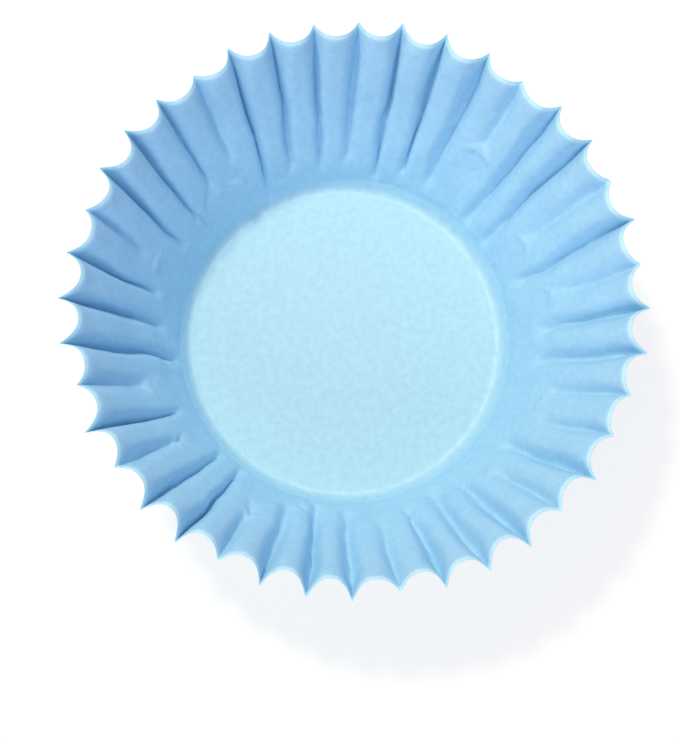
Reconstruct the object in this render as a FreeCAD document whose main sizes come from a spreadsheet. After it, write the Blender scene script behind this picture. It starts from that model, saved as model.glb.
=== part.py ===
"""A cupcake liner: one disc of thin paper pressed into a pleated cup.

Lengths are in millimetres and angles in degrees. The origin is the middle of the
underside, +Z points up out of the cup, and the middle of a pleat's panel is on +X.

Pleats are narrow creases that stand outwards, with a broad panel between each two
that bulges inwards. They start at nothing a little above the floor and grow towards
the rim. Sketches give the half section of the floor and corner and the section of one
pleat at two heights, with their roundings as arcs. The paper between them is laid
out as flat strips, as a pressed sheet really lies, and each arc becomes a few of them.
"""
import FreeCAD, Part
import math
import os
import Sketcher

Vector = FreeCAD.Vector

# Driving sizes: name, value and what it measures.
SIZES = (
    ("fold_radius", 25.0, "axis to the fold where the wall leaves the floor"),
    ("wall_length", 35.0, "fold to rim, up the slanting wall"),
    ("flare_angle", 30.0, "lean of the creases outwards from upright"),
    ("paper_thickness", 0.1, "thickness of the paper"),
    ("corner_radius", 2.0, "rounding between floor and wall"),
    ("pleat_count", 40, "number of pleats round the wall"),
    ("pleat_start", 4.5, "fold to the first trace of the pleats, up the wall"),
    ("pleat_middle", 14.0, "fold to where the pleats are well formed, up the wall"),
    ("flank_angle", 85.0, "turn of the paper from a panel's face into its crease"),
    ("rim_flat", 0.6, "width left flat in the middle of each panel at the rim"),
    ("middle_flat", 2.6, "width left flat in the middle of each panel at pleat_middle"),
    ("crease_radius", 0.3, "rounding of each crease at the rim"),
)

# Flat strips that stand for each rounded stretch.
CORNER_STRIPS = 4
PANEL_STRIPS = 7
CREASE_STRIPS = 3
# Flat strips round the smooth foot of the wall, for each pleat.
FOOT_STRIPS = 3

doc = FreeCAD.newDocument("CupcakeLiner")
sheet = doc.addObject("Spreadsheet::Sheet", "sizes")
for row, (name, value, meaning) in enumerate(SIZES, start=1):
    sheet.set(f"A{row}", name)
    sheet.set(f"B{row}", str(value))
    sheet.setAlias(f"B{row}", name)
    sheet.set(f"C{row}", meaning)
doc.recompute()

# The sheet's sizes as numbers, to draw each sketch close to its solved shape.
size = {name: float(sheet.get(name)) for name, _, _ in SIZES}
PLEATS = int(sheet.pleat_count)
PAPER = size["paper_thickness"]
FLARE = math.radians(size["flare_angle"])
FLANK = math.radians(size["flank_angle"])
HALF_PITCH = math.pi / PLEATS
# Lean of the plane between two pleats, in a section square to the wall.
SIDE_LEAN = math.atan(math.cos(FLARE) * math.tan(HALF_PITCH))

# The same relations as expressions over the sheet.
RADIUS = "(sizes.fold_radius + {level} * sin(sizes.flare_angle))"
HEIGHT = "(sizes.paper_thickness / 2 + {level} * cos(sizes.flare_angle))"
SKIN_OFFSET = "sizes.paper_thickness / 2 / cos(sizes.flare_angle)"
SPAN = "(" + RADIUS + " * tan(180 / sizes.pleat_count) - {flat} / 2)"


def radius_at(level):
    """Radius of the wall's cone at a length up the wall from the fold."""
    return size["fold_radius"] + level * math.sin(FLARE)


def height_at(level):
    """Height of the wall's cone at a length up the wall from the fold."""
    return PAPER / 2 + level * math.cos(FLARE)


def relate(sketch, kind, *where):
    """Add a constraint that needs no size."""
    sketch.addConstraint(Sketcher.Constraint(kind, *where))


def measure(sketch, name, expression, value, kind, *where):
    """Add a named constraint whose size follows an expression over the sheet."""
    index = sketch.addConstraint(Sketcher.Constraint(kind, *where, value))
    sketch.renameConstraint(index, name)
    sketch.setExpression(f"Constraints.{name}", expression)


def line(sketch, start, end, construction=False):
    """Add a straight line and return its number."""
    return sketch.addGeometry(Part.LineSegment(start, end), construction)


def arc(sketch, centre, radius, start, end):
    """Add an arc that runs anticlockwise between two angles in radians."""
    circle = Part.Circle(centre, Vector(0, 0, 1), radius)
    return sketch.addGeometry(Part.ArcOfCircle(circle, start, end), False)


def draw_base():
    """Half section of the floor, its rounded corner and the smooth foot of the wall.

    Returns the sketch and, for the outer and the inner skin, the pieces that lead
    from the floor's edge up to where the pleats start.
    """
    sketch = doc.addObject("Sketcher::SketchObject", "BaseSection")
    sketch.Placement = FreeCAD.Placement(Vector(0, 0, 0), FreeCAD.Rotation(Vector(1, 0, 0), 90))
    corner = size["corner_radius"]
    start = size["pleat_start"]
    edge = size["fold_radius"] - corner * math.tan((math.pi / 2 - FLARE) / 2)
    centre = Vector(edge, PAPER / 2 + corner)
    down = -math.pi / 2
    facing = Vector(math.cos(FLARE), -math.sin(FLARE))
    reach = PAPER / 2 / math.cos(FLARE)
    top_outer = Vector(radius_at(start) + reach, height_at(start))
    top_inner = Vector(radius_at(start) - reach, height_at(start))
    outer_radius = corner + PAPER / 2
    inner_radius = corner - PAPER / 2

    underside = line(sketch, Vector(0, 0), Vector(edge, 0))
    outer_arc = arc(sketch, centre, outer_radius, down, -FLARE)
    outer_wall = line(sketch, centre + facing * outer_radius, top_outer)
    top = line(sketch, top_outer, top_inner)
    inner_wall = line(sketch, top_inner, centre + facing * inner_radius)
    inner_arc = arc(sketch, centre, inner_radius, down, -FLARE)
    floor = line(sketch, Vector(edge, PAPER), Vector(0, PAPER))
    middle = line(sketch, Vector(0, PAPER), Vector(0, 0))

    relate(sketch, "Coincident", underside, 1, -1, 1)
    relate(sketch, "Tangent", underside, 2, outer_arc, 1)
    relate(sketch, "Tangent", outer_arc, 2, outer_wall, 1)
    relate(sketch, "Coincident", outer_wall, 2, top, 1)
    relate(sketch, "Coincident", top, 2, inner_wall, 1)
    relate(sketch, "Tangent", inner_wall, 2, inner_arc, 2)
    relate(sketch, "Tangent", inner_arc, 1, floor, 1)
    relate(sketch, "Coincident", floor, 2, middle, 1)
    relate(sketch, "Coincident", middle, 2, underside, 1)
    relate(sketch, "Horizontal", underside)
    relate(sketch, "Horizontal", floor)
    relate(sketch, "Horizontal", top)
    relate(sketch, "Vertical", middle)
    relate(sketch, "Parallel", outer_wall, inner_wall)

    foot_radius = RADIUS.format(level="sizes.pleat_start")
    foot_height = HEIGHT.format(level="sizes.pleat_start")
    outer_foot = f"{foot_radius} + {SKIN_OFFSET}"
    inner_foot = f"{foot_radius} - {SKIN_OFFSET}"
    outer_corner = "sizes.corner_radius + sizes.paper_thickness / 2"
    inner_corner = "sizes.corner_radius - sizes.paper_thickness / 2"
    slope = math.pi / 2 - FLARE
    measure(sketch, "thickness", "sizes.paper_thickness", PAPER, "DistanceY", middle, 2, middle, 1)
    measure(sketch, "foot_height", foot_height, top_outer.y, "DistanceY", -1, 1, top, 1)
    measure(sketch, "outer_foot", outer_foot, top_outer.x, "DistanceX", -1, 1, top, 1)
    measure(sketch, "inner_foot", inner_foot, top_inner.x, "DistanceX", -1, 1, top, 2)
    measure(sketch, "slope", "90 - sizes.flare_angle", slope, "Angle", -1, 1, outer_wall, 1)
    measure(sketch, "outer_corner", outer_corner, outer_radius, "Radius", outer_arc)
    measure(sketch, "inner_corner", inner_corner, inner_radius, "Radius", inner_arc)
    return (
        sketch,
        [(outer_arc, CORNER_STRIPS, True), (outer_wall, 1, True)],
        [(inner_arc, CORNER_STRIPS, True), (inner_wall, 1, False)],
    )


def draw_pleat_skin(sketch, flat, panel_centre, panel_radius, crease_centre, crease_radius):
    """Draw one face of the paper across a pleat, from crease to crease.

    Returns the numbers of its five pieces from left to right.
    """
    down = -math.pi / 2
    up = math.pi / 2
    face_height = panel_centre.y - panel_radius
    left_panel_centre = Vector(-panel_centre.x, panel_centre.y)
    left_crease_centre = Vector(-crease_centre.x, crease_centre.y)

    left_crease = arc(sketch, left_crease_centre, crease_radius, up - FLANK, up + SIDE_LEAN)
    left_panel = arc(sketch, left_panel_centre, panel_radius, down - FLANK, down)
    face = line(sketch, Vector(-flat / 2, face_height), Vector(flat / 2, face_height))
    right_panel = arc(sketch, panel_centre, panel_radius, down, down + FLANK)
    right_crease = arc(sketch, crease_centre, crease_radius, up - SIDE_LEAN, up + FLANK)

    relate(sketch, "Symmetric", face, 1, face, 2, -2)
    relate(sketch, "Tangent", face, 2, right_panel, 1)
    relate(sketch, "Tangent", right_panel, 2, right_crease, 2)
    relate(sketch, "Tangent", face, 1, left_panel, 2)
    relate(sketch, "Tangent", left_panel, 1, left_crease, 1)
    relate(sketch, "Equal", right_panel, left_panel)
    relate(sketch, "Equal", right_crease, left_crease)
    relate(sketch, "Symmetric", right_crease, 1, left_crease, 2, -2)
    return left_crease, left_panel, face, right_panel, right_crease


def draw_pleat(name, level_name, flat_name):
    """Section of one pleat, square to the wall at a level, from crease to crease.

    In the sketch X runs round the cup and Y out along the wall's normal. The centre of
    the crease's rounding is on the wall's cone. Returns the sketch and, for the outer
    and the inner skin, the pieces that lead from the left crease to the right one.
    """
    level = size[level_name]
    flat = size[flat_name]
    radius = radius_at(level)
    span = radius * math.tan(HALF_PITCH) - flat / 2
    rim_span = radius_at(size["wall_length"]) * math.tan(HALF_PITCH) - size["rim_flat"] / 2
    crease = size["crease_radius"] * span / rim_span
    panel = span / math.sin(FLANK) - crease
    crease_centre = Vector(flat / 2 + span, 0)
    panel_centre = Vector(flat / 2, (panel + crease) * math.cos(FLANK))
    axis_point = Vector(0, -radius / math.cos(FLARE))

    sketch = doc.addObject("Sketcher::SketchObject", name)
    around = FreeCAD.Rotation(Vector(0, 0, 1), 90)
    tilt = FreeCAD.Rotation(Vector(0, 1, 0), size["flare_angle"])
    out = FreeCAD.Rotation(Vector(0, 1, 0), 180)
    sketch.Placement = FreeCAD.Placement(Vector(radius, 0, height_at(level)), tilt * out * around)
    level_cell = f"sizes.{level_name}"
    sketch.setExpression("Placement.Base.x", RADIUS.format(level=level_cell))
    sketch.setExpression("Placement.Base.z", HEIGHT.format(level=level_cell))

    half = PAPER / 2
    outer = draw_pleat_skin(
        sketch, flat, panel_centre, panel - half, crease_centre, crease + half
    )
    inner = draw_pleat_skin(
        sketch, flat, panel_centre, panel + half, crease_centre, crease - half
    )
    _, _, outer_face, outer_panel, outer_crease = outer
    _, _, inner_face, inner_panel, inner_crease = inner
    relate(sketch, "Coincident", outer_panel, 3, inner_panel, 3)
    relate(sketch, "Coincident", outer_crease, 3, inner_crease, 3)
    relate(sketch, "PointOnObject", outer_crease, 3, -1)

    # The plane between two pleats, seen edge on: it passes through the liner's axis.
    tip_way = Vector(math.sin(SIDE_LEAN), math.cos(SIDE_LEAN))
    side = line(sketch, axis_point, crease_centre + tip_way * (crease + half), True)
    relate(sketch, "PointOnObject", side, 1, -2)
    relate(sketch, "Coincident", side, 2, outer_crease, 1)
    relate(sketch, "PointOnObject", outer_crease, 3, side)
    relate(sketch, "PointOnObject", inner_crease, 1, side)
    # The line between both arcs' centres, square to the flank where they meet.
    centres = line(sketch, panel_centre, crease_centre, True)
    relate(sketch, "Coincident", centres, 1, outer_panel, 3)
    relate(sketch, "Coincident", centres, 2, outer_crease, 3)

    span_here = SPAN.format(level=level_cell, flat=f"sizes.{flat_name}")
    span_rim = SPAN.format(level="sizes.wall_length", flat="sizes.rim_flat")
    axis_distance = RADIUS.format(level=level_cell) + " / cos(sizes.flare_angle)"
    side_slope = "90 deg - atan(cos(sizes.flare_angle) * tan(180 / sizes.pleat_count))"
    flank_slope = "90 - sizes.flank_angle"
    outer_radius = f"sizes.crease_radius * {span_here} / {span_rim} + sizes.paper_thickness / 2"
    quarter = math.pi / 2
    measure(sketch, "axis_distance", axis_distance, -axis_point.y, "DistanceY", side, 1, -1, 1)
    measure(sketch, "side_slope", side_slope, quarter - SIDE_LEAN, "Angle", -1, 1, side, 1)
    measure(sketch, "flank_slope", flank_slope, quarter - FLANK, "Angle", centres, 2, -1, 2)
    measure(sketch, "flat", f"sizes.{flat_name}", flat, "Distance", outer_face, 1, outer_face, 2)
    measure(sketch, "thickness", "sizes.paper_thickness", PAPER, "DistanceY", inner_face, 2, outer_face, 2)
    measure(sketch, "crease", outer_radius, crease + half, "Radius", outer_crease)

    strips = (CREASE_STRIPS, PANEL_STRIPS, 1, PANEL_STRIPS, CREASE_STRIPS)
    onward = (False, True, True, True, False)
    return sketch, list(zip(outer, strips, onward)), list(zip(inner, strips, onward))


def corners(sketch, pieces):
    """Points in space along drawn pieces, each cut into its number of equal strips."""
    path = []
    for number, strips, onward in pieces:
        stretch = sketch.Geometry[number].toShape().discretize(strips + 1)
        if not onward:
            stretch.reverse()
        path += stretch[1:] if path else stretch
    return [sketch.Placement.multVec(point) for point in path]


def turned(point, angle):
    """A point turned about the liner's axis by an angle in radians."""
    return FreeCAD.Rotation(Vector(0, 0, 1), math.degrees(angle)).multVec(point)


def face(*points):
    """A flat face with straight edges."""
    return Part.Face(Part.makePolygon([*points, points[0]]))


def ring(point, count):
    """A point repeated at equal angles all the way round, from the first pleat's left side."""
    step = 2 * math.pi / count
    return [turned(point, number * step - HALF_PITCH) for number in range(count)]


def round_strips(low, high):
    """Faces between two rings of points, one above the other."""
    after = low[1:] + low[:1]
    above = high[1:] + high[:1]
    return [face(*points) for points in zip(low, after, above, high)]


def skin_faces(foot_rows, middle, rim):
    """Faces of one skin: rounded corner, smooth foot, growing pleats and full pleats.

    The foot's rows are rings of points from the floor's edge up. Middle and rim are the
    skin's section across one pleat at both heights, as points from crease to crease.
    """
    faces = []
    for low, high in zip(foot_rows, foot_rows[1:]):
        faces += round_strips(low, high)
    top = foot_rows[-1]
    sides = len(middle) // 2
    for pleat in range(PLEATS):
        angle = 2 * HALF_PITCH * pleat
        here = [turned(point, angle) for point in middle]
        above = [turned(point, angle) for point in rim]
        first = pleat * FOOT_STRIPS
        foot = [top[(first + step) % len(top)] for step in range(FOOT_STRIPS + 1)]
        # Each crease fans out from its own point on the foot.
        for low, high in zip(here[:sides - 1], here[1:sides]):
            faces.append(face(foot[0], low, high))
        for low, high in zip(here[sides:-1], here[sides + 1:]):
            faces.append(face(foot[-1], low, high))
        # The panel's middle stands on the foot's strips.
        left, right = here[sides - 1], here[sides]
        faces.append(face(foot[0], left, foot[1]))
        faces.append(face(foot[1], left, right, foot[2]))
        faces.append(face(foot[2], right, foot[3]))
        for low, after, over, up in zip(here, here[1:], above[1:], above):
            faces.append(face(low, after, over, up))
    return faces


def make_liner():
    """The whole liner as one closed sheet of paper."""
    base, outer_base, inner_base = draw_base()
    middle, outer_middle, inner_middle = draw_pleat("PleatMiddle", "pleat_middle", "middle_flat")
    rim, outer_rim, inner_rim = draw_pleat("PleatRim", "wall_length", "rim_flat")
    doc.recompute()

    faces = []
    floor_edges = []
    rim_edges = []
    for base_pieces, middle_pieces, rim_pieces in (
        (outer_base, outer_middle, outer_rim),
        (inner_base, inner_middle, inner_rim),
    ):
        rows = [ring(point, PLEATS * FOOT_STRIPS) for point in corners(base, base_pieces)]
        rim_path = corners(rim, rim_pieces)
        faces += skin_faces(rows, corners(middle, middle_pieces), rim_path)
        floor_edges.append(rows[0])
        rim_edges.append(rim_path)
    for edge in floor_edges:
        faces.append(face(*edge))
    outer_edge, inner_edge = rim_edges
    for pleat in range(PLEATS):
        cut = [turned(point, 2 * HALF_PITCH * pleat) for point in outer_edge + inner_edge[::-1]]
        faces.append(face(*cut))

    sheet_of_faces = Part.makeShell(faces)
    sheet_of_faces.sewShape()
    solid = Part.makeSolid(sheet_of_faces)
    if solid.Volume < 0:
        solid.reverse()
    part = doc.addObject("Part::Feature", "Liner")
    part.Label = "liner"
    part.Shape = solid
    part.Placement = FreeCAD.Placement()
    return part


def check(part):
    """Stop before anything is written if an object failed or the solid isn't sound."""
    for item in doc.Objects:
        if {"Invalid", "Error"} & set(item.State):
            raise RuntimeError(f"{item.Name} failed: {item.State}")
    if part.Shape.isNull() or not part.Shape.isValid():
        raise RuntimeError(f"{part.Label} has no valid shape")
    if len(part.Shape.Solids) != 1:
        raise RuntimeError(f"{part.Label} is {len(part.Shape.Solids)} solids, not one")


liner = make_liner()
doc.recompute()
check(liner)
os.makedirs("parts", exist_ok=True)
liner.Shape.exportStep(f"parts/{liner.Label}.step")
print(liner.Label, "volume", round(liner.Shape.Volume, 3), "box", liner.Shape.BoundBox)
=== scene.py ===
"""The look of a pressed paper cupcake liner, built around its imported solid.

Lengths are in metres in the solid's own frame: the origin is the middle of the
underside and +Z points up out of the cup. One sheet of paper stands for the solid. A
Geometry Nodes tree presses it: a flat floor, a rounded corner and a leaning wall whose
pleats are narrow creases that stand outwards, with a broad soft panel between each two.
"""

import logging
import math
import random
from dataclasses import dataclass
from enum import Enum

import bpy
from mathutils import Matrix, Vector


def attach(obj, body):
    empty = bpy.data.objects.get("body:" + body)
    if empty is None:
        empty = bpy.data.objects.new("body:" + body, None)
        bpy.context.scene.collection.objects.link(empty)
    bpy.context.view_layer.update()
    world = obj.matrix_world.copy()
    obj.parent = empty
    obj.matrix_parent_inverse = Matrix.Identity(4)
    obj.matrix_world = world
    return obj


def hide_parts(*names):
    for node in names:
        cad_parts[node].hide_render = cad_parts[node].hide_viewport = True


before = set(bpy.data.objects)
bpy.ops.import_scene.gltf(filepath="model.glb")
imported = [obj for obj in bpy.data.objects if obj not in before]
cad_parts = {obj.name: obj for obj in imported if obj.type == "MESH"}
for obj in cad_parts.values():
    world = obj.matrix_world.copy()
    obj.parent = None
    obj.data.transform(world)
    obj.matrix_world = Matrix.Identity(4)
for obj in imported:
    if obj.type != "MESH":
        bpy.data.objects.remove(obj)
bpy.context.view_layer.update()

log = logging.getLogger("liner")

MM = 0.001
IMAGE_WIDTH = 680
IMAGE_HEIGHT = 744

Socket = bpy.types.NodeSocket
Value = float | int | Socket
Entries = dict[str | int, object]


def from_screen(red: int, green: int, blue: int) -> tuple[float, float, float, float]:
    """Turn a screen colour into the linear one that a shader socket takes.

    Args:
        red: red from 0 to 255.
        green: green from 0 to 255.
        blue: blue from 0 to 255.

    Returns:
        The linear colour with full alpha.
    """
    def channel(level: int) -> float:
        """Linear share of one channel."""
        share = level / 255
        return share / 12.92 if share <= 0.04045 else ((share + 0.055) / 1.055) ** 2.4

    return channel(red), channel(green), channel(blue), 1.0


def put_in_scene(name: str, data: bpy.types.ID) -> bpy.types.Object:
    """Make an object of some data and put it into the scene.

    Args:
        name: the object's name.
        data: its mesh, lamp or camera.

    Returns:
        The object.
    """
    made = bpy.data.objects.new(name, data)
    bpy.context.scene.collection.objects.link(made)
    return made


class SocketKind(Enum):
    """The kinds of socket that the trees and groups here expose."""

    WHOLE = "NodeSocketInt"
    NUMBER = "NodeSocketFloat"
    COLOUR = "NodeSocketColor"
    GEOMETRY = "NodeSocketGeometry"
    OBJECT = "NodeSocketObject"
    MATERIAL = "NodeSocketMaterial"


class NodeWriter:
    """Adds nodes to one node tree and joins them."""

    def __init__(self, tree: bpy.types.NodeTree) -> None:
        """Keep the tree that the nodes go into."""
        self.tree = tree

    def expose(self, name: str, kind: SocketKind, into: bool = True) -> None:
        """Add a named socket to the tree's own interface.

        Args:
            name: the socket's name.
            kind: what the socket carries.
            into: True for an input and False for an output.
        """
        side = "INPUT" if into else "OUTPUT"
        self.tree.interface.new_socket(name, in_out=side, socket_type=kind.value)

    def node(self, kind: str, entries: Entries | None = None, **settings: object) -> bpy.types.Node:
        """Add a node, set its options and feed its inputs.

        Args:
            kind: the node's type name.
            entries: what its inputs get, by their name or number.
            settings: the node's options by name.

        Returns:
            The new node.
        """
        made = self.tree.nodes.new(kind)
        for name, value in settings.items():
            setattr(made, name, value)
        self.feed(made, entries or {})
        return made

    def result(self, kind: str, entries: Entries | None = None, **settings: object) -> Socket:
        """Add a node in the same way and return its first output."""
        return self.node(kind, entries, **settings).outputs[0]

    def feed(self, node: bpy.types.Node, entries: Entries) -> None:
        """Link sockets into a node's inputs, or write plain values on them.

        Args:
            node: the node.
            entries: a socket or a plain value for each input, by its name or number.
        """
        for name, value in entries.items():
            socket = node.inputs[name]
            if isinstance(value, Socket):
                self.tree.links.new(value, socket)
            else:
                socket.default_value = value

    def math(self, operation: str, *values: Value, clamp: bool = False) -> Socket:
        """Add one step of arithmetic.

        Args:
            operation: the Math node's operation.
            values: its inputs in order.
            clamp: whether the result is held between 0 and 1.

        Returns:
            The result's socket.
        """
        entries = dict(enumerate(values))
        return self.result("ShaderNodeMath", entries, operation=operation, use_clamp=clamp)

    def times(self, first: Value, second: Value) -> Socket:
        """Multiply two numbers."""
        return self.math("MULTIPLY", first, second)

    def plus(self, first: Value, second: Value) -> Socket:
        """Add two numbers."""
        return self.math("ADD", first, second)

    def minus(self, first: Value, second: Value) -> Socket:
        """Take the second number from the first."""
        return self.math("SUBTRACT", first, second)

    def mix(self, share: Value, low: Value, high: Value) -> Socket:
        """Blend two numbers.

        Args:
            share: 0 gives the first number and 1 the second.
            low: the first number.
            high: the second number.

        Returns:
            The blended number's socket.
        """
        return self.result("ShaderNodeMix", {0: share, 2: low, 3: high}, data_type="FLOAT")

    def tint(self, share: Value, low: object, high: object) -> Socket:
        """Blend two colours.

        Args:
            share: 0 gives the first colour and 1 the second.
            low: the first colour.
            high: the second colour.

        Returns:
            The blended colour's socket.
        """
        made = self.node("ShaderNodeMix", {0: share, 6: low, 7: high}, data_type="RGBA")
        return made.outputs[2]

    def ramp(self, value: Value, start: Value, end: Value, smooth: bool = True) -> Socket:
        """Run from 0 to 1 while a value goes from start to end.

        Args:
            value: the value that is read.
            start: where the result is 0.
            end: where the result is 1.
            smooth: whether both ends are eased.

        Returns:
            The result's socket.
        """
        kind = "SMOOTHSTEP" if smooth else "LINEAR"
        entries = dict(enumerate((value, start, end, 0.0, 1.0)))
        return self.result("ShaderNodeMapRange", entries, interpolation_type=kind, clamp=True)

    def vector(self, *values: Value) -> Socket:
        """Join three numbers into a vector."""
        return self.result("ShaderNodeCombineXYZ", dict(enumerate(values)))

    def parts(self, whole: Socket) -> list[Socket]:
        """Split a vector into its three numbers."""
        return list(self.node("ShaderNodeSeparateXYZ", {0: whole}).outputs)

    def noise(self, place: Socket, scale: Value, detail: float = 2.0) -> Socket:
        """Read smooth noise in space.

        Args:
            place: where the noise is read.
            scale: bumps in each metre.
            detail: how many finer layers are added.

        Returns:
            The socket of the noise, about 0 to 1.
        """
        entries = {"Vector": place, "Scale": scale, "Detail": detail}
        return self.result("ShaderNodeTexNoise", entries, noise_dimensions="3D")

    def sample(self, points: Socket, number: Socket, name: str, kind: str) -> Socket:
        """Read what one point of a geometry carries under a name.

        Args:
            points: the geometry.
            number: the point's number.
            name: the attribute's name.
            kind: its data type.

        Returns:
            The value's socket.
        """
        named = self.node("GeometryNodeInputNamedAttribute", {"Name": name}, data_type=kind)
        entries = {"Geometry": points, "Value": named.outputs["Attribute"], "Index": number}
        return self.result("GeometryNodeSampleIndex", entries, data_type=kind, domain="POINT")


def bare_finish(name: str) -> tuple[bpy.types.Material, NodeWriter, bpy.types.Node]:
    """Make a material that has only its shader.

    Args:
        name: the material's name.

    Returns:
        The material, the writer of its nodes, and the shader's node.
    """
    made = bpy.data.materials.new(name)
    made.use_nodes = True
    return made, NodeWriter(made.node_tree), made.node_tree.nodes["Principled BSDF"]


@dataclass(frozen=True)
class Crease:
    """How a kind of crease stands in the wall.

    Attributes:
        strength: its depth at the rim as a share of a full crease's.
        sharpness: 0 for a soft wave and 1 for a knife edge.
    """

    strength: float
    sharpness: float


class CreaseKind(Enum):
    """The kinds of crease that the press leaves in the wall."""

    DEEP = Crease(strength=1.08, sharpness=0.6)
    PLAIN = Crease(strength=0.93, sharpness=0.57)
    BROAD = Crease(strength=1.06, sharpness=0.32)
    FAINT = Crease(strength=0.66, sharpness=0.42)


# Creases are numbered from the one next to +X, anticlockwise seen from above.
DEEP_CREASES = (8, 9, 12, 13, 16, 17, 20, 21, 23, 25, 26)
BROAD_CREASES = (0, 2, 4, 5, 7, 28, 29, 30, 32, 33, 34, 36, 39)
FAINT_CREASES = (1, 3, 6, 14, 18, 22, 24, 27, 31, 35, 37, 38)

# Millimetres up the wall from the floor's fold to each crease's lower end.
CREASE_STARTS = (
    9.5, 16.0, 5.6, 13.0, 2.0, 2.2, 18.0, 4.0, 4.6, 2.0,
    6.0, 4.0, 5.5, 2.2, 14.0, 10.5, 8.0, 8.0, 17.0, 10.3,
    7.0, 2.2, 14.0, 8.3, 12.0, 2.4, 2.2, 13.0, 7.0, 3.4,
    5.0, 11.0, 8.0, 5.6, 8.0, 14.0, 9.5, 16.0, 15.0, 8.4,
)


@dataclass(frozen=True)
class Buckle:
    """A short line in the wall where the paper gave a little.

    Attributes:
        path: corners of the line, each a crease number and a share of the wall's length.
        rise: height that it stands into the cup, negative where it stands outwards.
    """

    path: tuple[tuple[float, float], ...]
    rise: float


BUCKLES = (
    Buckle(((5.55, 0.52), (5.8, 0.565), (6.15, 0.57), (6.45, 0.53)), 0.68 * MM),
    Buckle(((8.75, 0.47), (8.95, 0.49), (9.2, 0.46)), 0.53 * MM),
    Buckle(((10.7, 0.46), (11.0, 0.49), (11.35, 0.5)), 0.6 * MM),
    Buckle(((12.0, 0.24), (12.3, 0.2), (12.75, 0.22)), -0.47 * MM),
    Buckle(((12.75, 0.5), (13.0, 0.47), (13.2, 0.48)), 0.56 * MM),
    Buckle(((13.75, 0.26), (14.05, 0.3), (14.5, 0.33)), 0.68 * MM),
    Buckle(((15.2, 0.42), (15.45, 0.33), (15.6, 0.28)), -0.6 * MM),
    Buckle(((15.8, 0.34), (15.9, 0.24), (15.75, 0.14)), -0.53 * MM),
    Buckle(((17.6, 0.42), (18.0, 0.44), (18.4, 0.41)), 0.47 * MM),
    Buckle(((19.75, 0.5), (20.0, 0.47), (20.2, 0.49)), 0.53 * MM),
    Buckle(((21.0, 0.3), (21.45, 0.2), (21.8, 0.1)), -0.72 * MM),
    Buckle(((21.7, 0.46), (22.1, 0.49), (22.5, 0.45)), 0.36 * MM),
    Buckle(((23.7, 0.44), (24.0, 0.48), (24.4, 0.45)), 0.42 * MM),
    Buckle(((26.7, 0.5), (27.05, 0.55), (27.4, 0.52)), 0.72 * MM),
    Buckle(((28.2, 0.2), (28.6, 0.26), (29.1, 0.22)), -0.47 * MM),
    Buckle(((31.7, 0.4), (32.0, 0.37), (32.25, 0.4)), 0.68 * MM),
    Buckle(((33.7, 0.33), (34.0, 0.27), (34.1, 0.2)), -0.56 * MM),
    Buckle(((34.7, 0.44), (34.95, 0.4), (35.05, 0.36)), 0.47 * MM),
    Buckle(((37.3, 0.43), (37.6, 0.47), (37.9, 0.44)), 0.47 * MM),
    Buckle(((0.6, 0.42), (0.95, 0.47), (1.3, 0.42)), 0.47 * MM),
    Buckle(((2.6, 0.36), (3.0, 0.4), (3.35, 0.36)), 0.47 * MM),
)


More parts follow.
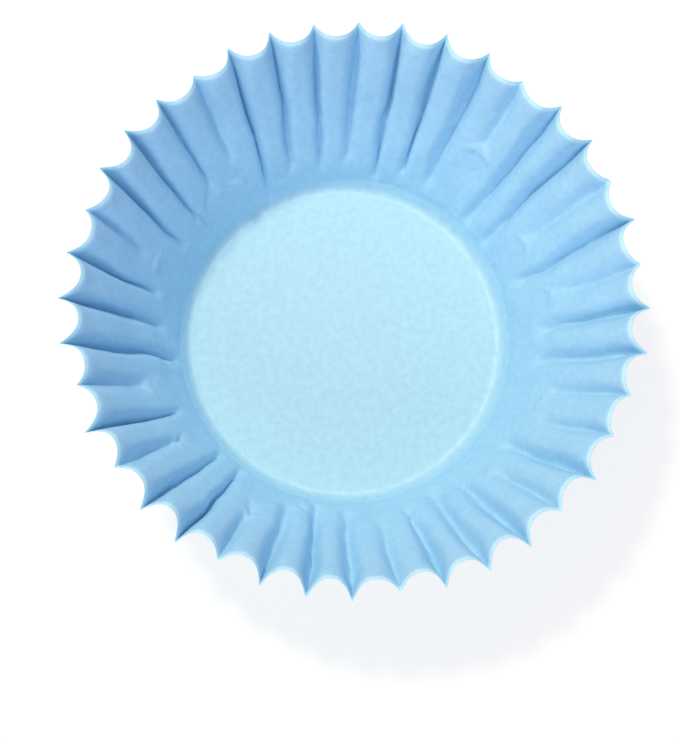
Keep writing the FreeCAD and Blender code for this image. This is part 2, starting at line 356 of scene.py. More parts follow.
class PressTree:
    """Builds the Geometry Nodes tree that presses the sheet into its cup.

    The tree's geometry is one point for each crease, which carries how that crease
    runs. A second object holds the buckles' lines, laid flat. Each number and count
    that the tree takes is named after the sheet's field that it comes from.
    """

    NUMBERS = (
        "Fold Radius", "Wall Length", "Wall Lean", "Corner Radius", "Thickness",
        "Pleat Start", "Pleat Depth", "Crease Reach", "Panel Growth", "Crease Growth",
        "Broad Pinch", "Sharp Pinch", "Rim Pinch", "Rim Zone", "Rim Sharpness", "Unevenness",
        "Dent", "Dent Place", "Dent Narrowness", "Floor Crowding",
        "Wobble", "Waviness", "Ripple", "Floor Wave", "Rim Curl", "Curl Length",
        "Flat Pitch", "Buckle Spread", "Column Spread", "Row Crowding",
    )
    COUNTS = ("Pleats", "Columns", "Floor Rows", "Corner Rows", "Wall Rows", "Seed")

    # Bumps in each metre of the noises that move the paper.
    WANDER_SCALE = 110.0
    WAVE_SCALE = 95.0
    RIPPLE_SCALE = 420.0
    LIFT_SCALE = 60.0
    # Shift of the noises for each step of the seed.
    SEED_SHIFT = 0.37
    # Share of its height at which the stretched noise reads a place.
    STRETCH = 0.25
    # Share of the wall's length below which the creases wander fully, and the share
    # of their wander that is left at the rim.
    FULL_WANDER = 0.4
    RIM_WANDER = 0.25
    # Length over which a crease comes up from nothing.
    CREASE_ONSET = 4.0 * MM
    # Share of a crease's height by which it has its full sharpness.
    CREASE_OPENED = 0.35
    # Length up the wall by which its waves and buckles have their full height.
    WAVE_ONSET = 9.0 * MM
    # Where the short ripples start, are full, start to fade and end, up the wall.
    RIPPLE_BAND = (-1.5 * MM, 3.0 * MM, 5.0 * MM, 17.0 * MM)
    # Power by which the dent grows up the wall.
    DENT_GROWTH = 1.5
    # Noise at which the floor starts to lift and is lifted fully.
    LIFT_RANGE = (0.42, 0.75)
    # Reach within which the grid's seam and the floor's middle are closed.
    MERGE_REACH = 0.002 * MM

    def __init__(self) -> None:
        """Make the empty tree with its named inputs."""
        self.tree = bpy.data.node_groups.new("PressedSheet", "GeometryNodeTree")
        self.write = NodeWriter(self.tree)
        self.write.expose("Geometry", SocketKind.GEOMETRY, into=False)
        self.write.expose("Geometry", SocketKind.GEOMETRY)
        for name in self.NUMBERS:
            self.write.expose(name, SocketKind.NUMBER)
        for name in self.COUNTS:
            self.write.expose(name, SocketKind.WHOLE)
        self.write.expose("Buckles", SocketKind.OBJECT)
        self.write.expose("Paper", SocketKind.MATERIAL)
        self.inputs = self.write.node("NodeGroupInput").outputs

    def given(self, name: str) -> Socket:
        """Socket of one of the tree's own inputs."""
        return self.inputs[name]

    def lay_grid(self) -> tuple[Socket, Socket, Socket]:
        """Lay the flat grid that becomes the sheet.

        Returns:
            Sockets of the grid, of the place around in pleats and of the row's number.
        """
        write, given = self.write, self.given
        columns = write.times(given("Pleats"), given("Columns"))
        rows = write.plus(given("Floor Rows"), given("Corner Rows"))
        rows = write.plus(rows, given("Wall Rows"))
        grid = write.result("GeometryNodeMeshGrid", {
            "Size X": 1.0,
            "Size Y": 1.0,
            "Vertices X": write.plus(columns, 1.0),
            "Vertices Y": write.plus(rows, 1.0),
        })
        across, along, _ = write.parts(write.result("GeometryNodeInputPosition"))
        around = write.times(write.plus(across, 0.5), given("Pleats"))
        crowd = write.math("SINE", write.times(around, 2 * math.pi))
        crowd = write.times(crowd, given("Column Spread"))
        around = write.math("MULTIPLY_ADD", crowd, 0.5 / math.pi, around)
        row = write.times(write.plus(along, 0.5), rows)
        return grid, around, row

    def run_profile(self, row: Socket) -> dict[str, Socket]:
        """Follow the cup's half section from the middle of the floor to the rim.

        Args:
            row: socket of the row's number.

        Returns:
            Sockets of the radius, the height, the outward normal's two parts, the
            length up the wall from the fold and how far the corner has turned.
        """
        write, given = self.write, self.given
        turn_full = write.minus(math.pi / 2, given("Wall Lean"))
        tangent = write.math("TANGENT", write.times(turn_full, 0.5))
        corner_reach = write.times(given("Corner Radius"), tangent)
        edge = write.minus(given("Fold Radius"), corner_reach)
        straight = write.minus(given("Wall Length"), corner_reach)

        floor_share = write.math("DIVIDE", row, given("Floor Rows"), clamp=True)
        after_floor = write.minus(row, given("Floor Rows"))
        turn_share = write.math("DIVIDE", after_floor, given("Corner Rows"), clamp=True)
        after_corner = write.minus(after_floor, given("Corner Rows"))
        wall_share = write.math("DIVIDE", after_corner, given("Wall Rows"), clamp=True)
        wall_share = write.math("POWER", wall_share, given("Row Crowding"))

        turn = write.times(turn_share, turn_full)
        up_wall = write.times(wall_share, straight)
        sine = write.math("SINE", turn)
        cosine = write.math("COSINE", turn)
        inward = write.minus(1.0, floor_share)
        inward = write.math("POWER", inward, given("Floor Crowding"))
        radius = write.times(write.minus(1.0, inward), edge)
        radius = write.math("MULTIPLY_ADD", sine, given("Corner Radius"), radius)
        lean_out = write.math("SINE", given("Wall Lean"))
        radius = write.math("MULTIPLY_ADD", up_wall, lean_out, radius)
        height = write.times(given("Thickness"), 0.5)
        rounding = write.minus(1.0, cosine)
        height = write.math("MULTIPLY_ADD", rounding, given("Corner Radius"), height)
        lean_up = write.math("COSINE", given("Wall Lean"))
        height = write.math("MULTIPLY_ADD", up_wall, lean_up, height)
        corner_length = write.math("MULTIPLY_ADD", turn_share, 2.0, -1.0)
        level = write.math("MULTIPLY_ADD", corner_length, corner_reach, up_wall)
        return {
            "radius": radius,
            "height": height,
            "out": sine,
            "down": cosine,
            "level": level,
            "turned": turn_share,
        }

    def read_creases(self, around: Socket, level: Socket) -> tuple[Socket, Socket, Socket]:
        """Blend how the creases on both sides of a place run there.

        Args:
            around: socket of the place around in pleats.
            level: socket of the length up the wall.

        Returns:
            Sockets of the crease's depth as a share of a full one, its sharpness there,
            and the power that narrows it.
        """
        write, given = self.write, self.given
        broadest = CreaseKind.BROAD.value.sharpness
        sharpest = CreaseKind.DEEP.value.sharpness
        first = write.math("FLOOR", around)
        share = write.ramp(write.math("FRACT", around), 0.0, 1.0)
        depths = []
        edges = []
        pinches = []
        for step in (0.0, 1.0):
            number = write.plus(first, step)
            number = write.math("FLOORED_MODULO", number, given("Pleats"))
            run = write.sample(given("Geometry"), number, "crease", "FLOAT_VECTOR")
            start, strength, sharpness = write.parts(run)
            grown = write.ramp(level, start, given("Wall Length"), smooth=False)
            grown = write.math("POWER", grown, given("Crease Growth"))
            begun = write.ramp(level, start, write.plus(start, self.CREASE_ONSET))
            grown = write.times(grown, begun)
            depths.append(write.times(grown, strength))
            opened = write.ramp(grown, 0.0, self.CREASE_OPENED)
            edges.append(write.times(opened, sharpness))
            narrow = write.ramp(sharpness, broadest, sharpest, smooth=False)
            pinches.append(write.mix(narrow, given("Broad Pinch"), given("Sharp Pinch")))
        return write.mix(share, *depths), write.mix(share, *edges), write.mix(share, *pinches)

    def read_buckles(self, around: Socket, level: Socket) -> Socket:
        """Height of the buckles at a place, into the cup.

        Args:
            around: socket of the place around in pleats.
            level: socket of the length up the wall.

        Returns:
            The height's socket.
        """
        write, given = self.write, self.given
        place = write.vector(write.times(around, given("Flat Pitch")), level, 0.0)
        info = write.node("GeometryNodeObjectInfo", {"Object": given("Buckles")})
        lines = info.outputs["Geometry"]
        entries = {0: lines, "Sample Position": place}
        near = write.node("GeometryNodeProximity", entries, target_element="EDGES")
        nearest = write.result("GeometryNodeSampleNearest", entries, domain="POINT")
        rise = write.sample(lines, nearest, "rise", "FLOAT")
        reach = write.math("DIVIDE", near.outputs["Distance"], given("Buckle Spread"))
        fall = write.times(write.times(reach, reach), -1.0)
        return write.times(write.math("EXPONENT", fall), rise)

    def build(self) -> bpy.types.NodeTree:
        """Write the whole tree.

        Returns:
            The finished tree.
        """
        write, given = self.write, self.given
        grid, around, row = self.lay_grid()
        profile = self.run_profile(row)
        level = profile["level"]
        full_turn = 2 * math.pi
        turn_step = write.math("DIVIDE", full_turn, given("Pleats"))

        # Where this place would be on a plain cup, to read noise that closes on itself.
        plain = write.times(write.plus(around, 0.5), turn_step)
        seed_step = write.times(given("Seed"), self.SEED_SHIFT)
        plain_x = write.times(write.math("COSINE", plain), profile["radius"])
        plain_y = write.times(write.math("SINE", plain), profile["radius"])
        spot = write.vector(plain_x, plain_y, write.plus(profile["height"], seed_step))
        squeezed = write.math("MULTIPLY_ADD", profile["height"], self.STRETCH, seed_step)
        stretched = write.vector(plain_x, plain_y, squeezed)

        # The creases wander a little to both sides, and the columns of faces with them.
        drift = write.minus(write.noise(stretched, self.WANDER_SCALE), 0.5)
        drift = write.times(drift, given("Wobble"))
        full_below = write.times(given("Wall Length"), self.FULL_WANDER)
        below_rim = write.ramp(level, given("Wall Length"), full_below)
        freedom = write.math("MULTIPLY_ADD", below_rim, 1 - self.RIM_WANDER, self.RIM_WANDER)
        drift = write.times(drift, freedom)

        # Creases open towards the rim, where the panels bow in and meet in sharp cusps.
        zone_start = write.minus(given("Wall Length"), given("Rim Zone"))
        by_rim = write.ramp(level, zone_start, given("Wall Length"))
        depth, edge, pinch = self.read_creases(around, level)
        edge = write.mix(by_rim, edge, given("Rim Sharpness"))
        phase = write.times(around, full_turn)
        pull = write.times(write.math("SINE", phase), edge)
        drifted = write.minus(around, drift)
        pulled = write.math("MULTIPLY_ADD", pull, -1 / full_turn, drifted)
        azimuth = write.times(write.plus(pulled, 0.5), turn_step)

        # Panels lie inside the cone and the creases stand out from them.
        sunk = write.ramp(level, given("Pleat Start"), given("Wall Length"), smooth=False)
        sunk = write.math("POWER", sunk, given("Panel Growth"))
        sunk = write.times(sunk, given("Pleat Depth"))
        crest = write.math("MULTIPLY_ADD", write.math("COSINE", phase), 0.5, 0.5)
        pinch = write.mix(by_rim, pinch, given("Rim Pinch"))
        crest = write.math("POWER", crest, pinch)
        full = write.plus(given("Pleat Depth"), given("Crease Reach"))
        proud = write.times(write.times(depth, full), crest)
        out = write.minus(proud, sunk)
        side = write.times(write.math("COSINE", plain), given("Unevenness"))
        out = write.times(out, write.minus(1.0, side))

        # On one side the wall gives inwards, more towards the rim.
        toward = write.math("COSINE", write.minus(plain, given("Dent Place")))
        toward = write.math("MAXIMUM", toward, 0.0)
        dent = write.math("POWER", toward, given("Dent Narrowness"))
        risen = write.ramp(level, 0.0, given("Wall Length"), smooth=False)
        dent = write.times(dent, write.math("POWER", risen, self.DENT_GROWTH))
        out = write.minus(out, write.times(dent, given("Dent")))

        # Soft unevenness of the wall, short ripples by the corner, and the buckles.
        on_wall = write.ramp(level, 0.0, self.WAVE_ONSET)
        wave = write.minus(write.noise(spot, self.WAVE_SCALE, detail=1.0), 0.5)
        wave = write.times(write.times(wave, given("Waviness")), on_wall)
        starts, whole, fades, ends = self.RIPPLE_BAND
        band = write.times(write.ramp(level, starts, whole), write.ramp(level, ends, fades))
        ripple = write.minus(write.noise(stretched, self.RIPPLE_SCALE, detail=1.0), 0.5)
        ripple = write.times(write.times(ripple, given("Ripple")), band)
        out = write.plus(out, write.plus(wave, ripple))
        buckle = write.times(self.read_buckles(around, level), on_wall)
        out = write.minus(out, buckle)

        # The cut rim curls outwards a hair.
        curl_start = write.minus(given("Wall Length"), given("Curl Length"))
        curl = write.ramp(level, curl_start, given("Wall Length"), smooth=False)
        curl = write.times(write.times(curl, curl), given("Rim Curl"))
        out = write.plus(out, curl)

        # The floor lies flat and lifts a hair in places.
        lift = write.ramp(write.noise(spot, self.LIFT_SCALE, detail=1.0), *self.LIFT_RANGE)
        flat = write.minus(1.0, profile["turned"])
        lift = write.times(write.times(lift, given("Floor Wave")), flat)

        radius = write.math("MULTIPLY_ADD", out, profile["out"], profile["radius"])
        height = write.times(out, profile["down"])
        height = write.minus(write.plus(profile["height"], lift), height)
        x_place = write.times(write.math("COSINE", azimuth), radius)
        y_place = write.times(write.math("SINE", azimuth), radius)

        # The level is stored first, because it is read from the flat grid's places.
        entries = {"Geometry": grid, "Name": "up_wall", "Value": level}
        store = "GeometryNodeStoreNamedAttribute"
        sheet = write.result(store, entries, data_type="FLOAT", domain="POINT")
        entries = {"Geometry": sheet, "Position": write.vector(x_place, y_place, height)}
        sheet = write.result("GeometryNodeSetPosition", entries)
        entries = {"Geometry": sheet, "Distance": self.MERGE_REACH}
        sheet = write.result("GeometryNodeMergeByDistance", entries)
        sheet = write.result("GeometryNodeSetShadeSmooth", {"Geometry": sheet})
        sheet = write.result("GeometryNodeRealizeInstances", {"Geometry": sheet})
        entries = {"Geometry": sheet, "Material": given("Paper")}
        write.node("NodeGroupOutput", {0: write.result("GeometryNodeSetMaterial", entries)})
        return self.tree


@dataclass
class PaperSheet:
    """The one sheet that the liner is pressed from.

    Attributes:
        fold_radius: axis to the fold where the wall leaves the floor.
        wall_length: fold to rim, up the wall.
        wall_lean: lean of the creases outwards from upright, in degrees.
        corner_radius: rounding between floor and wall.
        thickness: thickness of the paper.
        pleats: number of pleats.
        pleat_start: fold to the first trace of the panels, up the wall.
        pleat_depth: how far the panels lie inside the creases' cone at the rim.
        crease_reach: how far a full crease's tip stands outside that cone.
        panel_growth: power by which the panels' depth grows up the wall.
        crease_growth: power by which the creases' height grows up the wall.
        broad_pinch: how narrow the broadest creases are, 1 for a plain wave.
        sharp_pinch: the same for the sharpest, more for a narrower slot.
        rim_pinch: the same at the rim.
        rim_zone: how far down from the rim the creases start to open.
        rim_sharpness: sharpness of the cusps at the rim.
        unevenness: how much deeper the pleats are at -X, and shallower at +X, as a share.
        dent: how far the rim gives inwards on one side.
        dent_place: direction of that side from +X, in degrees.
        dent_narrowness: power that narrows it.
        floor_crowding: power that crowds the floor's rows towards its edge.
        wobble: how far the creases wander sideways, in pleats.
        waviness: height of the wall's soft unevenness.
        ripple: height of the short ripples above the corner.
        floor_wave: how far the floor lifts in places.
        rim_curl: how far the cut rim curls outwards.
        curl_length: how far down from the rim the curl starts.
        columns: columns of faces in each pleat.
        column_spread: how far the columns move from the creases into the panels.
        row_crowding: power that crowds the rows towards the floor.
        floor_rows: rows of faces in the floor.
        corner_rows: rows of faces in the corner.
        wall_rows: rows of faces in the wall.
        seed: number that every random draw starts from.
        strength_spread: most that a crease's strength is drawn off its kind's.
        sharpness_spread: the same for its sharpness.
        flat_pitch: width of a pleat where the buckles' lines are laid flat.
        buckle_spread: how far a buckle reaches to both sides of its line.
        buckle_step: length of the pieces that a buckle's line is made of.
        buckle_taper: power that rounds a buckle's ends, less for blunter ones.
        sharp_angle: turn between two faces past which their edge shows, in degrees.
    """

    fold_radius: float = 25.0 * MM
    wall_length: float = 35.0 * MM
    wall_lean: float = 30.0
    corner_radius: float = 1.9 * MM
    thickness: float = 0.1 * MM
    pleats: int = 40
    pleat_start: float = 3.0 * MM
    pleat_depth: float = 3.0 * MM
    crease_reach: float = 0.3 * MM
    panel_growth: float = 0.68
    crease_growth: float = 0.6
    broad_pinch: float = 1.45
    sharp_pinch: float = 2.2
    rim_pinch: float = 1.15
    rim_zone: float = 7.0 * MM
    rim_sharpness: float = 0.75
    unevenness: float = 0.02
    dent: float = 1.15 * MM
    dent_place: float = 146.0
    dent_narrowness: float = 7.5
    floor_crowding: float = 4.0
    wobble: float = 0.5
    waviness: float = 0.9 * MM
    ripple: float = 0.26 * MM
    floor_wave: float = 0.07 * MM
    rim_curl: float = 0.32 * MM
    curl_length: float = 1.0 * MM
    columns: int = 18
    column_spread: float = 0.4
    row_crowding: float = 1.3
    floor_rows: int = 3
    corner_rows: int = 5
    wall_rows: int = 58
    seed: int = 11
    strength_spread: float = 0.04
    sharpness_spread: float = 0.05
    flat_pitch: float = 6.0 * MM
    buckle_spread: float = 0.46 * MM
    buckle_step: float = 0.25 * MM
    buckle_taper: float = 0.7
    sharp_angle: float = 75.0

    def crease_points(self) -> bpy.types.Object:
        """Make one point for each crease, with how it runs.

        Returns:
            An object that the press tree reads.
        """
        draw = random.Random(self.seed)
        mesh = bpy.data.meshes.new("crease_points")
        mesh.from_pydata([(float(number), 0.0, 0.0) for number in range(self.pleats)], [], [])
        run = mesh.attributes.new("crease", "FLOAT_VECTOR", "POINT")
        for number in range(self.pleats):
            kind = CreaseKind.PLAIN
            if number in DEEP_CREASES:
                kind = CreaseKind.DEEP
            elif number in BROAD_CREASES:
                kind = CreaseKind.BROAD
            elif number in FAINT_CREASES:
                kind = CreaseKind.FAINT
            crease = kind.value
            run.data[number].vector = (
                CREASE_STARTS[number] * MM,
                crease.strength + draw.uniform(-self.strength_spread, self.strength_spread),
                crease.sharpness + draw.uniform(-self.sharpness_spread, self.sharpness_spread),
            )
        return put_in_scene("crease_points", mesh)

    def buckle_lines(self) -> bpy.types.Object:
        """Lay the buckles' lines flat, with their height along each.

        Returns:
            An object that the press tree reads.
        """
        points: list[tuple[float, float, float]] = []
        edges: list[tuple[int, int]] = []
        rises: list[float] = []
        for buckle in BUCKLES:
            corners = [
                Vector((across * self.flat_pitch, share * self.wall_length, 0.0))
                for across, share in buckle.path
            ]
            lengths = [(b - a).length for a, b in zip(corners, corners[1:])]
            whole = sum(lengths)
            count = round(whole / self.buckle_step)
            for number in range(count + 1):
                left = whole * number / count
                run = 0
                while run < len(lengths) - 1 and left > lengths[run]:
                    left -= lengths[run]
                    run += 1
                place = corners[run].lerp(corners[run + 1], min(1.0, left / lengths[run]))
                if number:
                    edges.append((len(points) - 1, len(points)))
                points.append(tuple(place))
                swell = max(0.0, math.sin(math.pi * number / count))
                rises.append(buckle.rise * swell ** self.buckle_taper)
        mesh = bpy.data.meshes.new("buckle_lines")
        mesh.from_pydata(points, edges, [])
        rise = mesh.attributes.new("rise", "FLOAT", "POINT")
        rise.data.foreach_set("value", rises)
        return put_in_scene("buckle_lines", mesh)

    def build(self, paper: bpy.types.Material, cut: bpy.types.Material) -> bpy.types.Object:
        """Press the sheet and give it its thickness.

        Args:
            paper: finish of both faces.
            cut: finish of the cut edge at the rim.

        Returns:
            The finished piece, with its place in its mesh.
        """
        guide = self.crease_points()
        lines = self.buckle_lines()
        tree = PressTree().build()
        press = guide.modifiers.new("press", "NODES")
        press.node_group = tree
        values = {
            name: getattr(self, name.lower().replace(" ", "_"))
            for name in PressTree.NUMBERS + PressTree.COUNTS
        }
        values["Wall Lean"] = math.radians(self.wall_lean)
        values["Dent Place"] = math.radians(self.dent_place)
        values["Buckles"] = lines
        values["Paper"] = paper
        for item in tree.interface.items_tree:
            if item.in_out == "INPUT" and item.name in values:
                press[item.identifier] = values[item.name]
        depsgraph = bpy.context.evaluated_depsgraph_get()
        sheet = bpy.data.meshes.new_from_object(guide.evaluated_get(depsgraph), depsgraph=depsgraph)
        piece = put_in_scene("paper_sheet", sheet)
        for helper in (guide, lines):
            bpy.data.objects.remove(helper)

        piece.data.materials.clear()
        piece.data.materials.append(paper)
        piece.data.materials.append(cut)
        wall = piece.modifiers.new("thickness", "SOLIDIFY")
        wall.thickness = self.thickness
        wall.offset = 0.0
        wall.use_even_offset = False
        wall.material_offset_rim = 1
        depsgraph = bpy.context.evaluated_depsgraph_get()
        whole = bpy.data.meshes.new_from_object(piece.evaluated_get(depsgraph), depsgraph=depsgraph)
        piece.modifiers.clear()
        piece.data = whole
        piece.data.set_sharp_from_angle(angle=math.radians(self.sharp_angle))
        return piece


class PaperGrain:
    """Builds the node group that both paper finishes share.

    It puts out a colour that follows the pulp's clouds and fibres, a height of both
    for a Bump node, and a roughness that follows the fibres.
    """

    # Noise at which a cloud is darkest and palest.
    CLOUD_RANGE = (0.3, 0.7)
    # Bumps in each metre of the noise that bends the fibres, and how far it does.
    BEND_SCALE = 900.0
    BEND_REACH = 1.2 * MM
    # Shares of the fibres in the colour and in the height, beside the clouds.
    FIBRE_TINT = 0.6
    FIBRE_HEIGHT = 0.6
    # Roughness between the fibres, and how much they add.
    SMOOTHEST = 0.48
    FIBRE_ROUGHNESS = 0.2

    def __init__(self) -> None:
        """Make the group with its named sockets."""
        self.tree = bpy.data.node_groups.new("PaperGrain", "ShaderNodeTree")
        write = NodeWriter(self.tree)
        write.expose("Cloud Scale", SocketKind.NUMBER)
        write.expose("Fibre Scale", SocketKind.NUMBER)
        write.expose("Cloudiness", SocketKind.NUMBER)
        write.expose("Colour", SocketKind.COLOUR)
        write.expose("Colour", SocketKind.COLOUR, into=False)
        write.expose("Height", SocketKind.NUMBER, into=False)
        write.expose("Roughness", SocketKind.NUMBER, into=False)
        start = write.node("NodeGroupInput").outputs
        place = write.node("ShaderNodeTexCoord").outputs["Object"]

        cloud = write.noise(place, start["Cloud Scale"], detail=5.0)
        cloud_step = write.ramp(cloud, *self.CLOUD_RANGE, smooth=False)
        entries = {"Vector": place, "Scale": self.BEND_SCALE}
        warp = write.node("ShaderNodeTexNoise", entries, noise_dimensions="3D")
        entries = {0: warp.outputs["Color"], "Scale": self.BEND_REACH}
        bent = write.result("ShaderNodeVectorMath", entries, operation="SCALE")
        bent = write.result("ShaderNodeVectorMath", {0: place, 1: bent}, operation="ADD")
        fibre = write.noise(bent, start["Fibre Scale"], detail=3.0)

        shade = write.minus(cloud_step, 0.5)
        fibre_step = write.minus(fibre, 0.5)
        shade = write.math("MULTIPLY_ADD", fibre_step, self.FIBRE_TINT, shade)
        shade = write.math("MULTIPLY_ADD", shade, start["Cloudiness"], 1.0)
        entries = {0: start["Colour"], "Scale": shade}
        height = write.times(cloud, 1 - self.FIBRE_HEIGHT)
        write.node("NodeGroupOutput", {
            "Colour": write.result("ShaderNodeVectorMath", entries, operation="SCALE"),
            "Height": write.math("MULTIPLY_ADD", fibre, self.FIBRE_HEIGHT, height),
            "Roughness": write.math("MULTIPLY_ADD", fibre, self.FIBRE_ROUGHNESS, self.SMOOTHEST),
        })


@dataclass(frozen=True)
class DyedPaper:
    """Thin greaseproof paper, dyed pale blue in the pulp.

    Attributes:
        wall_length: fold to rim, up the wall.
        name: the material's name.
        floor: colour where the paper lies flat in the floor, paler and less blue than
            the wall's: painted light where the floor is lit most.
        wall: colour up the wall, bluer: painted shade and bounce light in the cup.
        wall_from: where the floor's colour starts to turn into the wall's, up the wall.
        wall_by: where it has turned.
        fold: colour of a painted highlight line round the floor, where the rounded
        fold catches the light.
        highlight_place: how far below the wall's foot the line runs, along the paper.
        highlight_width: half the line's width.
        highlight_scale: bumps in each metre of the noise that breaks the line.
        highlight_range: noise at which the line is gone and is full.
        rim: colour next to the cut rim: a painted highlight where its edge catches
        the light.
        rim_highlight_width: how far the rim's colour reaches down.
        cloud_scale: clouds of the pulp in each metre.
        fibre_scale: fibres in each metre.
        cloudiness: strength of the clouds and fibres in the colour.
        relief: strength of the fibres' relief.
        relief_height: height of the fibres' relief.
        gloss: strength of the paper's gloss.
    """

    wall_length: float
    name: str = "dyed_paper"
    floor: tuple[int, int, int] = (184, 222, 235)
    wall: tuple[int, int, int] = (175, 218, 242)
    wall_from: float = -0.6 * MM
    wall_by: float = 3.0 * MM
    fold: tuple[int, int, int] = (196, 233, 243)
    highlight_place: float = 0.35 * MM
    highlight_width: float = 0.62 * MM
    highlight_scale: float = 420.0
    highlight_range: tuple[float, float] = (0.15, 0.7)
    rim: tuple[int, int, int] = (202, 241, 252)
    rim_highlight_width: float = 0.85 * MM
    cloud_scale: float = 900.0
    fibre_scale: float = 2600.0
    cloudiness: float = 0.1
    relief: float = 0.2
    relief_height: float = 0.06 * MM
    gloss: float = 0.35

    def build(self, grain: PaperGrain) -> bpy.types.Material:
        """Make the material.

        Args:
            grain: the group that the paper finishes share.

        Returns:
            The material.
        """
        made, write, shader = bare_finish(self.name)
        level = write.node("ShaderNodeAttribute", attribute_name="up_wall").outputs["Fac"]
        # The floor gets a paler colour and the wall a bluer one: painted light on the floor and
        # painted shade on the wall.
        turned = write.ramp(level, self.wall_from, self.wall_by)
        colour = write.tint(turned, from_screen(*self.floor), from_screen(*self.wall))

        # Painted highlight: a paler, broken line where the floor's fold catches the light.
        place = write.node("ShaderNodeTexCoord").outputs["Object"]
        highlight_breaks = write.ramp(write.noise(place, self.highlight_scale, detail=1.0), *self.highlight_range)
        onto = write.ramp(level, -self.highlight_place - self.highlight_width, -self.highlight_place)
        off = write.ramp(level, -self.highlight_place + self.highlight_width, -self.highlight_place)
        line = write.times(write.times(onto, off), highlight_breaks)
        colour = write.tint(line, colour, from_screen(*self.fold))

        # Painted highlight: a paler band along the rim, where its edge catches the light.
        rim_highlight_start = self.wall_length - self.rim_highlight_width
        by_rim = write.ramp(level, rim_highlight_start, rim_highlight_start + self.rim_highlight_width / 2)
        colour = write.tint(by_rim, colour, from_screen(*self.rim))

        group = write.node("ShaderNodeGroup", {
            "Cloud Scale": self.cloud_scale,
            "Fibre Scale": self.fibre_scale,
            "Cloudiness": self.cloudiness,
            "Colour": colour,
        }, node_tree=grain.tree).outputs
        relief = write.result("ShaderNodeBump", {
            "Strength": self.relief,
            "Distance": self.relief_height,
            "Height": group["Height"],
        })
        write.feed(shader, {
            "Base Color": group["Colour"],
            "Roughness": group["Roughness"],
            "Normal": relief,
            "Specular IOR Level": self.gloss,
        })
        return made


@dataclass(frozen=True)
class CutEdge:
    """The bare fibres where the disc was cut.

    Attributes:
        name: the material's name.
        colour: colour of the cut fibres.
        cloud_scale: clouds of the pulp in each metre.
        fibre_scale: fibres in each metre.
        cloudiness: strength of the clouds and fibres in the colour.
        roughness: roughness of the cut.
        gloss: strength of its gloss.
    """

    name: str = "cut_edge"
    colour: tuple[int, int, int] = (208, 240, 252)
    cloud_scale: float = 1800.0
    fibre_scale: float = 5200.0
    cloudiness: float = 0.12
    roughness: float = 0.85
    gloss: float = 0.2

    def build(self, grain: PaperGrain) -> bpy.types.Material:
        """Make the material.

        Args:
            grain: the group that the paper finishes share.

        Returns:
            The material.
        """
        made, write, shader = bare_finish(self.name)
        group = write.node("ShaderNodeGroup", {
            "Cloud Scale": self.cloud_scale,
            "Fibre Scale": self.fibre_scale,
            "Cloudiness": self.cloudiness,
            "Colour": from_screen(*self.colour),
        }, node_tree=grain.tree).outputs
        write.feed(shader, {
            "Base Color": group["Colour"],
            "Roughness": self.roughness,
            "Specular IOR Level": self.gloss,
        })
        return made


@dataclass(frozen=True)
class Lamp:
    """A soft lamp that looks at the middle of the cup.

    Attributes:
        name: the lamp's name.
        side: direction from the cup seen from above, in degrees from +X.
        height: direction above the horizon, in degrees.
        distance: how far it stands from the cup.
        width: side of its square face.
        power: its power in watts.
        colour: its colour, linear.
    """

    name: str
    side: float
    height: float
    distance: float
    width: float
    power: float
    colour: tuple[float, float, float] = (1.0, 1.0, 1.0)

    def build(self) -> bpy.types.Object:
        """Make the lamp.

        Returns:
            The lamp, which the camera doesn't see.
        """
        data = bpy.data.lights.new(self.name, "AREA")
        data.shape = "SQUARE"
        data.size = self.width
        data.energy = self.power
        data.color = self.colour
        lamp = put_in_scene(self.name, data)
        side = math.radians(self.side)
        height = math.radians(self.height)
        level = math.cos(height)
        way = Vector((math.cos(side) * level, math.sin(side) * level, math.sin(height)))
        lamp.location = way * self.distance
        lamp.rotation_mode = "QUATERNION"
        lamp.rotation_quaternion = way.to_track_quat("Z", "Y")
        lamp.visible_camera = False
        return lamp


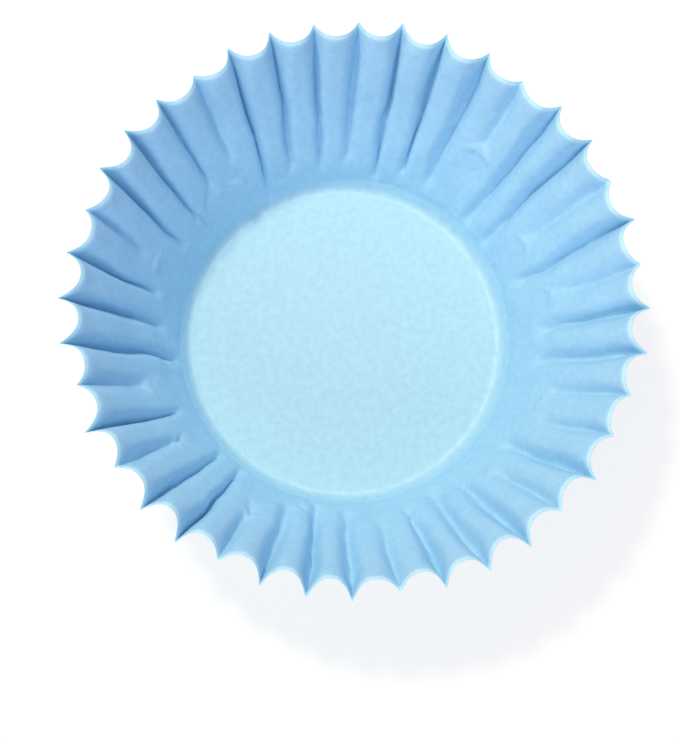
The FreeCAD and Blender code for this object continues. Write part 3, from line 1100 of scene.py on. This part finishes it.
@dataclass
class Studio:
    """Floor, world and lamps.

    Attributes:
        half_width: half the floor's side.
        drop: how far the floor lies under the paper's underside.
        table: the floor's own colour, linear.
        table_seen: the colour that it shows the camera, beside its white.
        table_roughness: roughness of the floor.
        table_gloss: strength of the floor's gloss.
        near_glow: white that the camera sees in the floor next to the cup.
        far_glow: the same far from the lamps.
        pale_start: distance from the cup where the floor starts to pale.
        pale_end: distance where it is as pale as far away.
        fill: strength of the even light from all round.
        sky: colour of that light, linear.
        white: the background's colour for the camera, linear.
        lamps: the lamps.
    """

    half_width: float = 3.0
    drop: float = 0.02 * MM
    table: tuple[float, ...] = (0.85, 0.85, 0.85, 1.0)
    table_seen: tuple[float, ...] = (0.355, 0.35, 0.3, 1.0)
    table_roughness: float = 0.9
    table_gloss: float = 0.1
    near_glow: float = 0.72
    far_glow: float = 0.86
    pale_start: float = 0.12
    pale_end: float = 0.6
    fill: float = 0.385
    sky: tuple[float, ...] = (0.92, 0.97, 1.4, 1.0)
    white: tuple[float, ...] = (1.0, 1.0, 1.0, 1.0)
    lamps: tuple[Lamp, ...] = (
        Lamp(
            "key", side=139.0, height=64.5, distance=0.7, width=0.09, power=3.05,
            colour=(1.0, 0.975, 0.73),
        ),
        Lamp("soft", side=262.0, height=31.0, distance=0.8, width=0.4, power=1.7),
    )

    def floor(self) -> bpy.types.Object:
        """Make the floor.

        Returns:
            The floor, staged.
        """
        reach = self.half_width
        mesh = bpy.data.meshes.new("studio_floor")
        corners = [(-reach, -reach), (reach, -reach), (reach, reach), (-reach, reach)]
        mesh.from_pydata([(x, y, -self.drop) for x, y in corners], [], [(0, 1, 2, 3)])
        made, write, shader = bare_finish("white_table")
        seen = write.node("ShaderNodeLightPath").outputs["Is Camera Ray"]

        # Far from the lamps the table is given the same white as next to the cup.
        place = write.node("ShaderNodeTexCoord").outputs["Object"]
        away = write.node("ShaderNodeVectorMath", {0: place}, operation="LENGTH").outputs["Value"]
        paled = write.ramp(away, self.pale_start, self.pale_end)
        glow = write.math("MULTIPLY_ADD", paled, self.far_glow - self.near_glow, self.near_glow)
        write.feed(shader, {
            "Base Color": write.tint(seen, self.table, self.table_seen),
            "Emission Color": self.white,
            "Emission Strength": write.times(seen, glow),
            "Roughness": self.table_roughness,
            "Specular IOR Level": self.table_gloss,
        })
        mesh.materials.append(made)
        table = put_in_scene("studio_floor", mesh)
        return table

    def world(self) -> None:
        """Set the even light and the white that the camera sees."""
        world = bpy.data.worlds.new("studio")
        world.use_nodes = True
        bpy.context.scene.world = world
        write = NodeWriter(world.node_tree)
        background = world.node_tree.nodes["Background"]
        path = write.node("ShaderNodeLightPath").outputs
        seen = write.math("MAXIMUM", path["Is Camera Ray"], path["Is Transmission Ray"])
        seen = write.math("MAXIMUM", seen, path["Is Glossy Ray"])
        write.feed(background, {
            "Color": write.tint(seen, self.sky, self.white),
            "Strength": write.mix(seen, self.fill, 1.0),
        })

    def build(self) -> None:
        """Make the floor, the world and the lamps."""
        self.floor()
        self.world()
        for lamp in self.lamps:
            lamp.build()


@dataclass
class LookIn:
    """The camera, which looks almost straight down into the cup.

    Attributes:
        focal: focal length in pixels of the image.
        sensor: size of the sensor along the image's long side, in millimetres.
        axis_right: how much of the cup's axis points right in the image.
        axis_up: how much of it points up in the image.
        spin: turn of the cup in the image, in degrees.
        distance: camera to the middle of the underside, along the view.
        offset: where that middle is in the image, in pixels right and down of the centre.
        nearest: nearest thing that the camera shows.
    """

    focal: float = 1913.0
    sensor: float = 36.0
    axis_right: float = 0.0523
    axis_up: float = 0.1699
    spin: float = -0.5
    distance: float = 0.3073
    offset: tuple[float, float] = (4.65, -30.63)
    nearest: float = 10.0 * MM

    def build(self, crease_place: float) -> bpy.types.Object:
        """Make the camera.

        Args:
            crease_place: direction of the first crease from +X, in degrees.

        Returns:
            The camera.
        """
        toward = math.sqrt(1 - self.axis_right ** 2 - self.axis_up ** 2)
        # The image's own axes are right, up and towards the camera.
        axis = Vector((self.axis_right, self.axis_up, toward))
        right = (Vector((1, 0, 0)) - axis * self.axis_right).normalized()
        up = axis.cross(right)
        turn = math.radians(self.spin - crease_place)
        cup_x = right * math.cos(turn) + up * math.sin(turn)
        cup_y = axis.cross(cup_x)
        # Rows of the camera's turn are the image's axes in the cup's frame.
        rotation = Matrix((cup_x, cup_y, axis))
        across, below = (pixels / self.focal * self.distance for pixels in self.offset)
        middle = Vector((across, -below, -self.distance))
        data = bpy.data.cameras.new("camera")
        data.sensor_width = self.sensor
        data.lens = self.focal * self.sensor / max(IMAGE_WIDTH, IMAGE_HEIGHT)
        data.clip_start = self.nearest
        camera = put_in_scene("camera", data)
        camera.matrix_world = Matrix.Translation(-(rotation @ middle)) @ rotation.to_4x4()
        bpy.context.scene.camera = camera
        return camera


def main() -> None:
    """Build the camera, the studio and the liner, in that order."""
    bpy.context.scene.view_settings.view_transform = "Standard"
    sheet = PaperSheet()
    half_pleat = 180.0 / sheet.pleats
    LookIn().build(crease_place=half_pleat)
    Studio().build()
    log.info("studio and camera are in place")

    grain = PaperGrain()
    paper = DyedPaper(wall_length=sheet.wall_length).build(grain)
    piece = sheet.build(paper, CutEdge().build(grain))
    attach(piece, "root")
    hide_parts("liner")
    log.info("%s: %d faces", piece.name, len(piece.data.polygons))


if __name__ == "__main__":
    logging.basicConfig(level=logging.INFO, format="%(name)s: %(message)s")
    main()
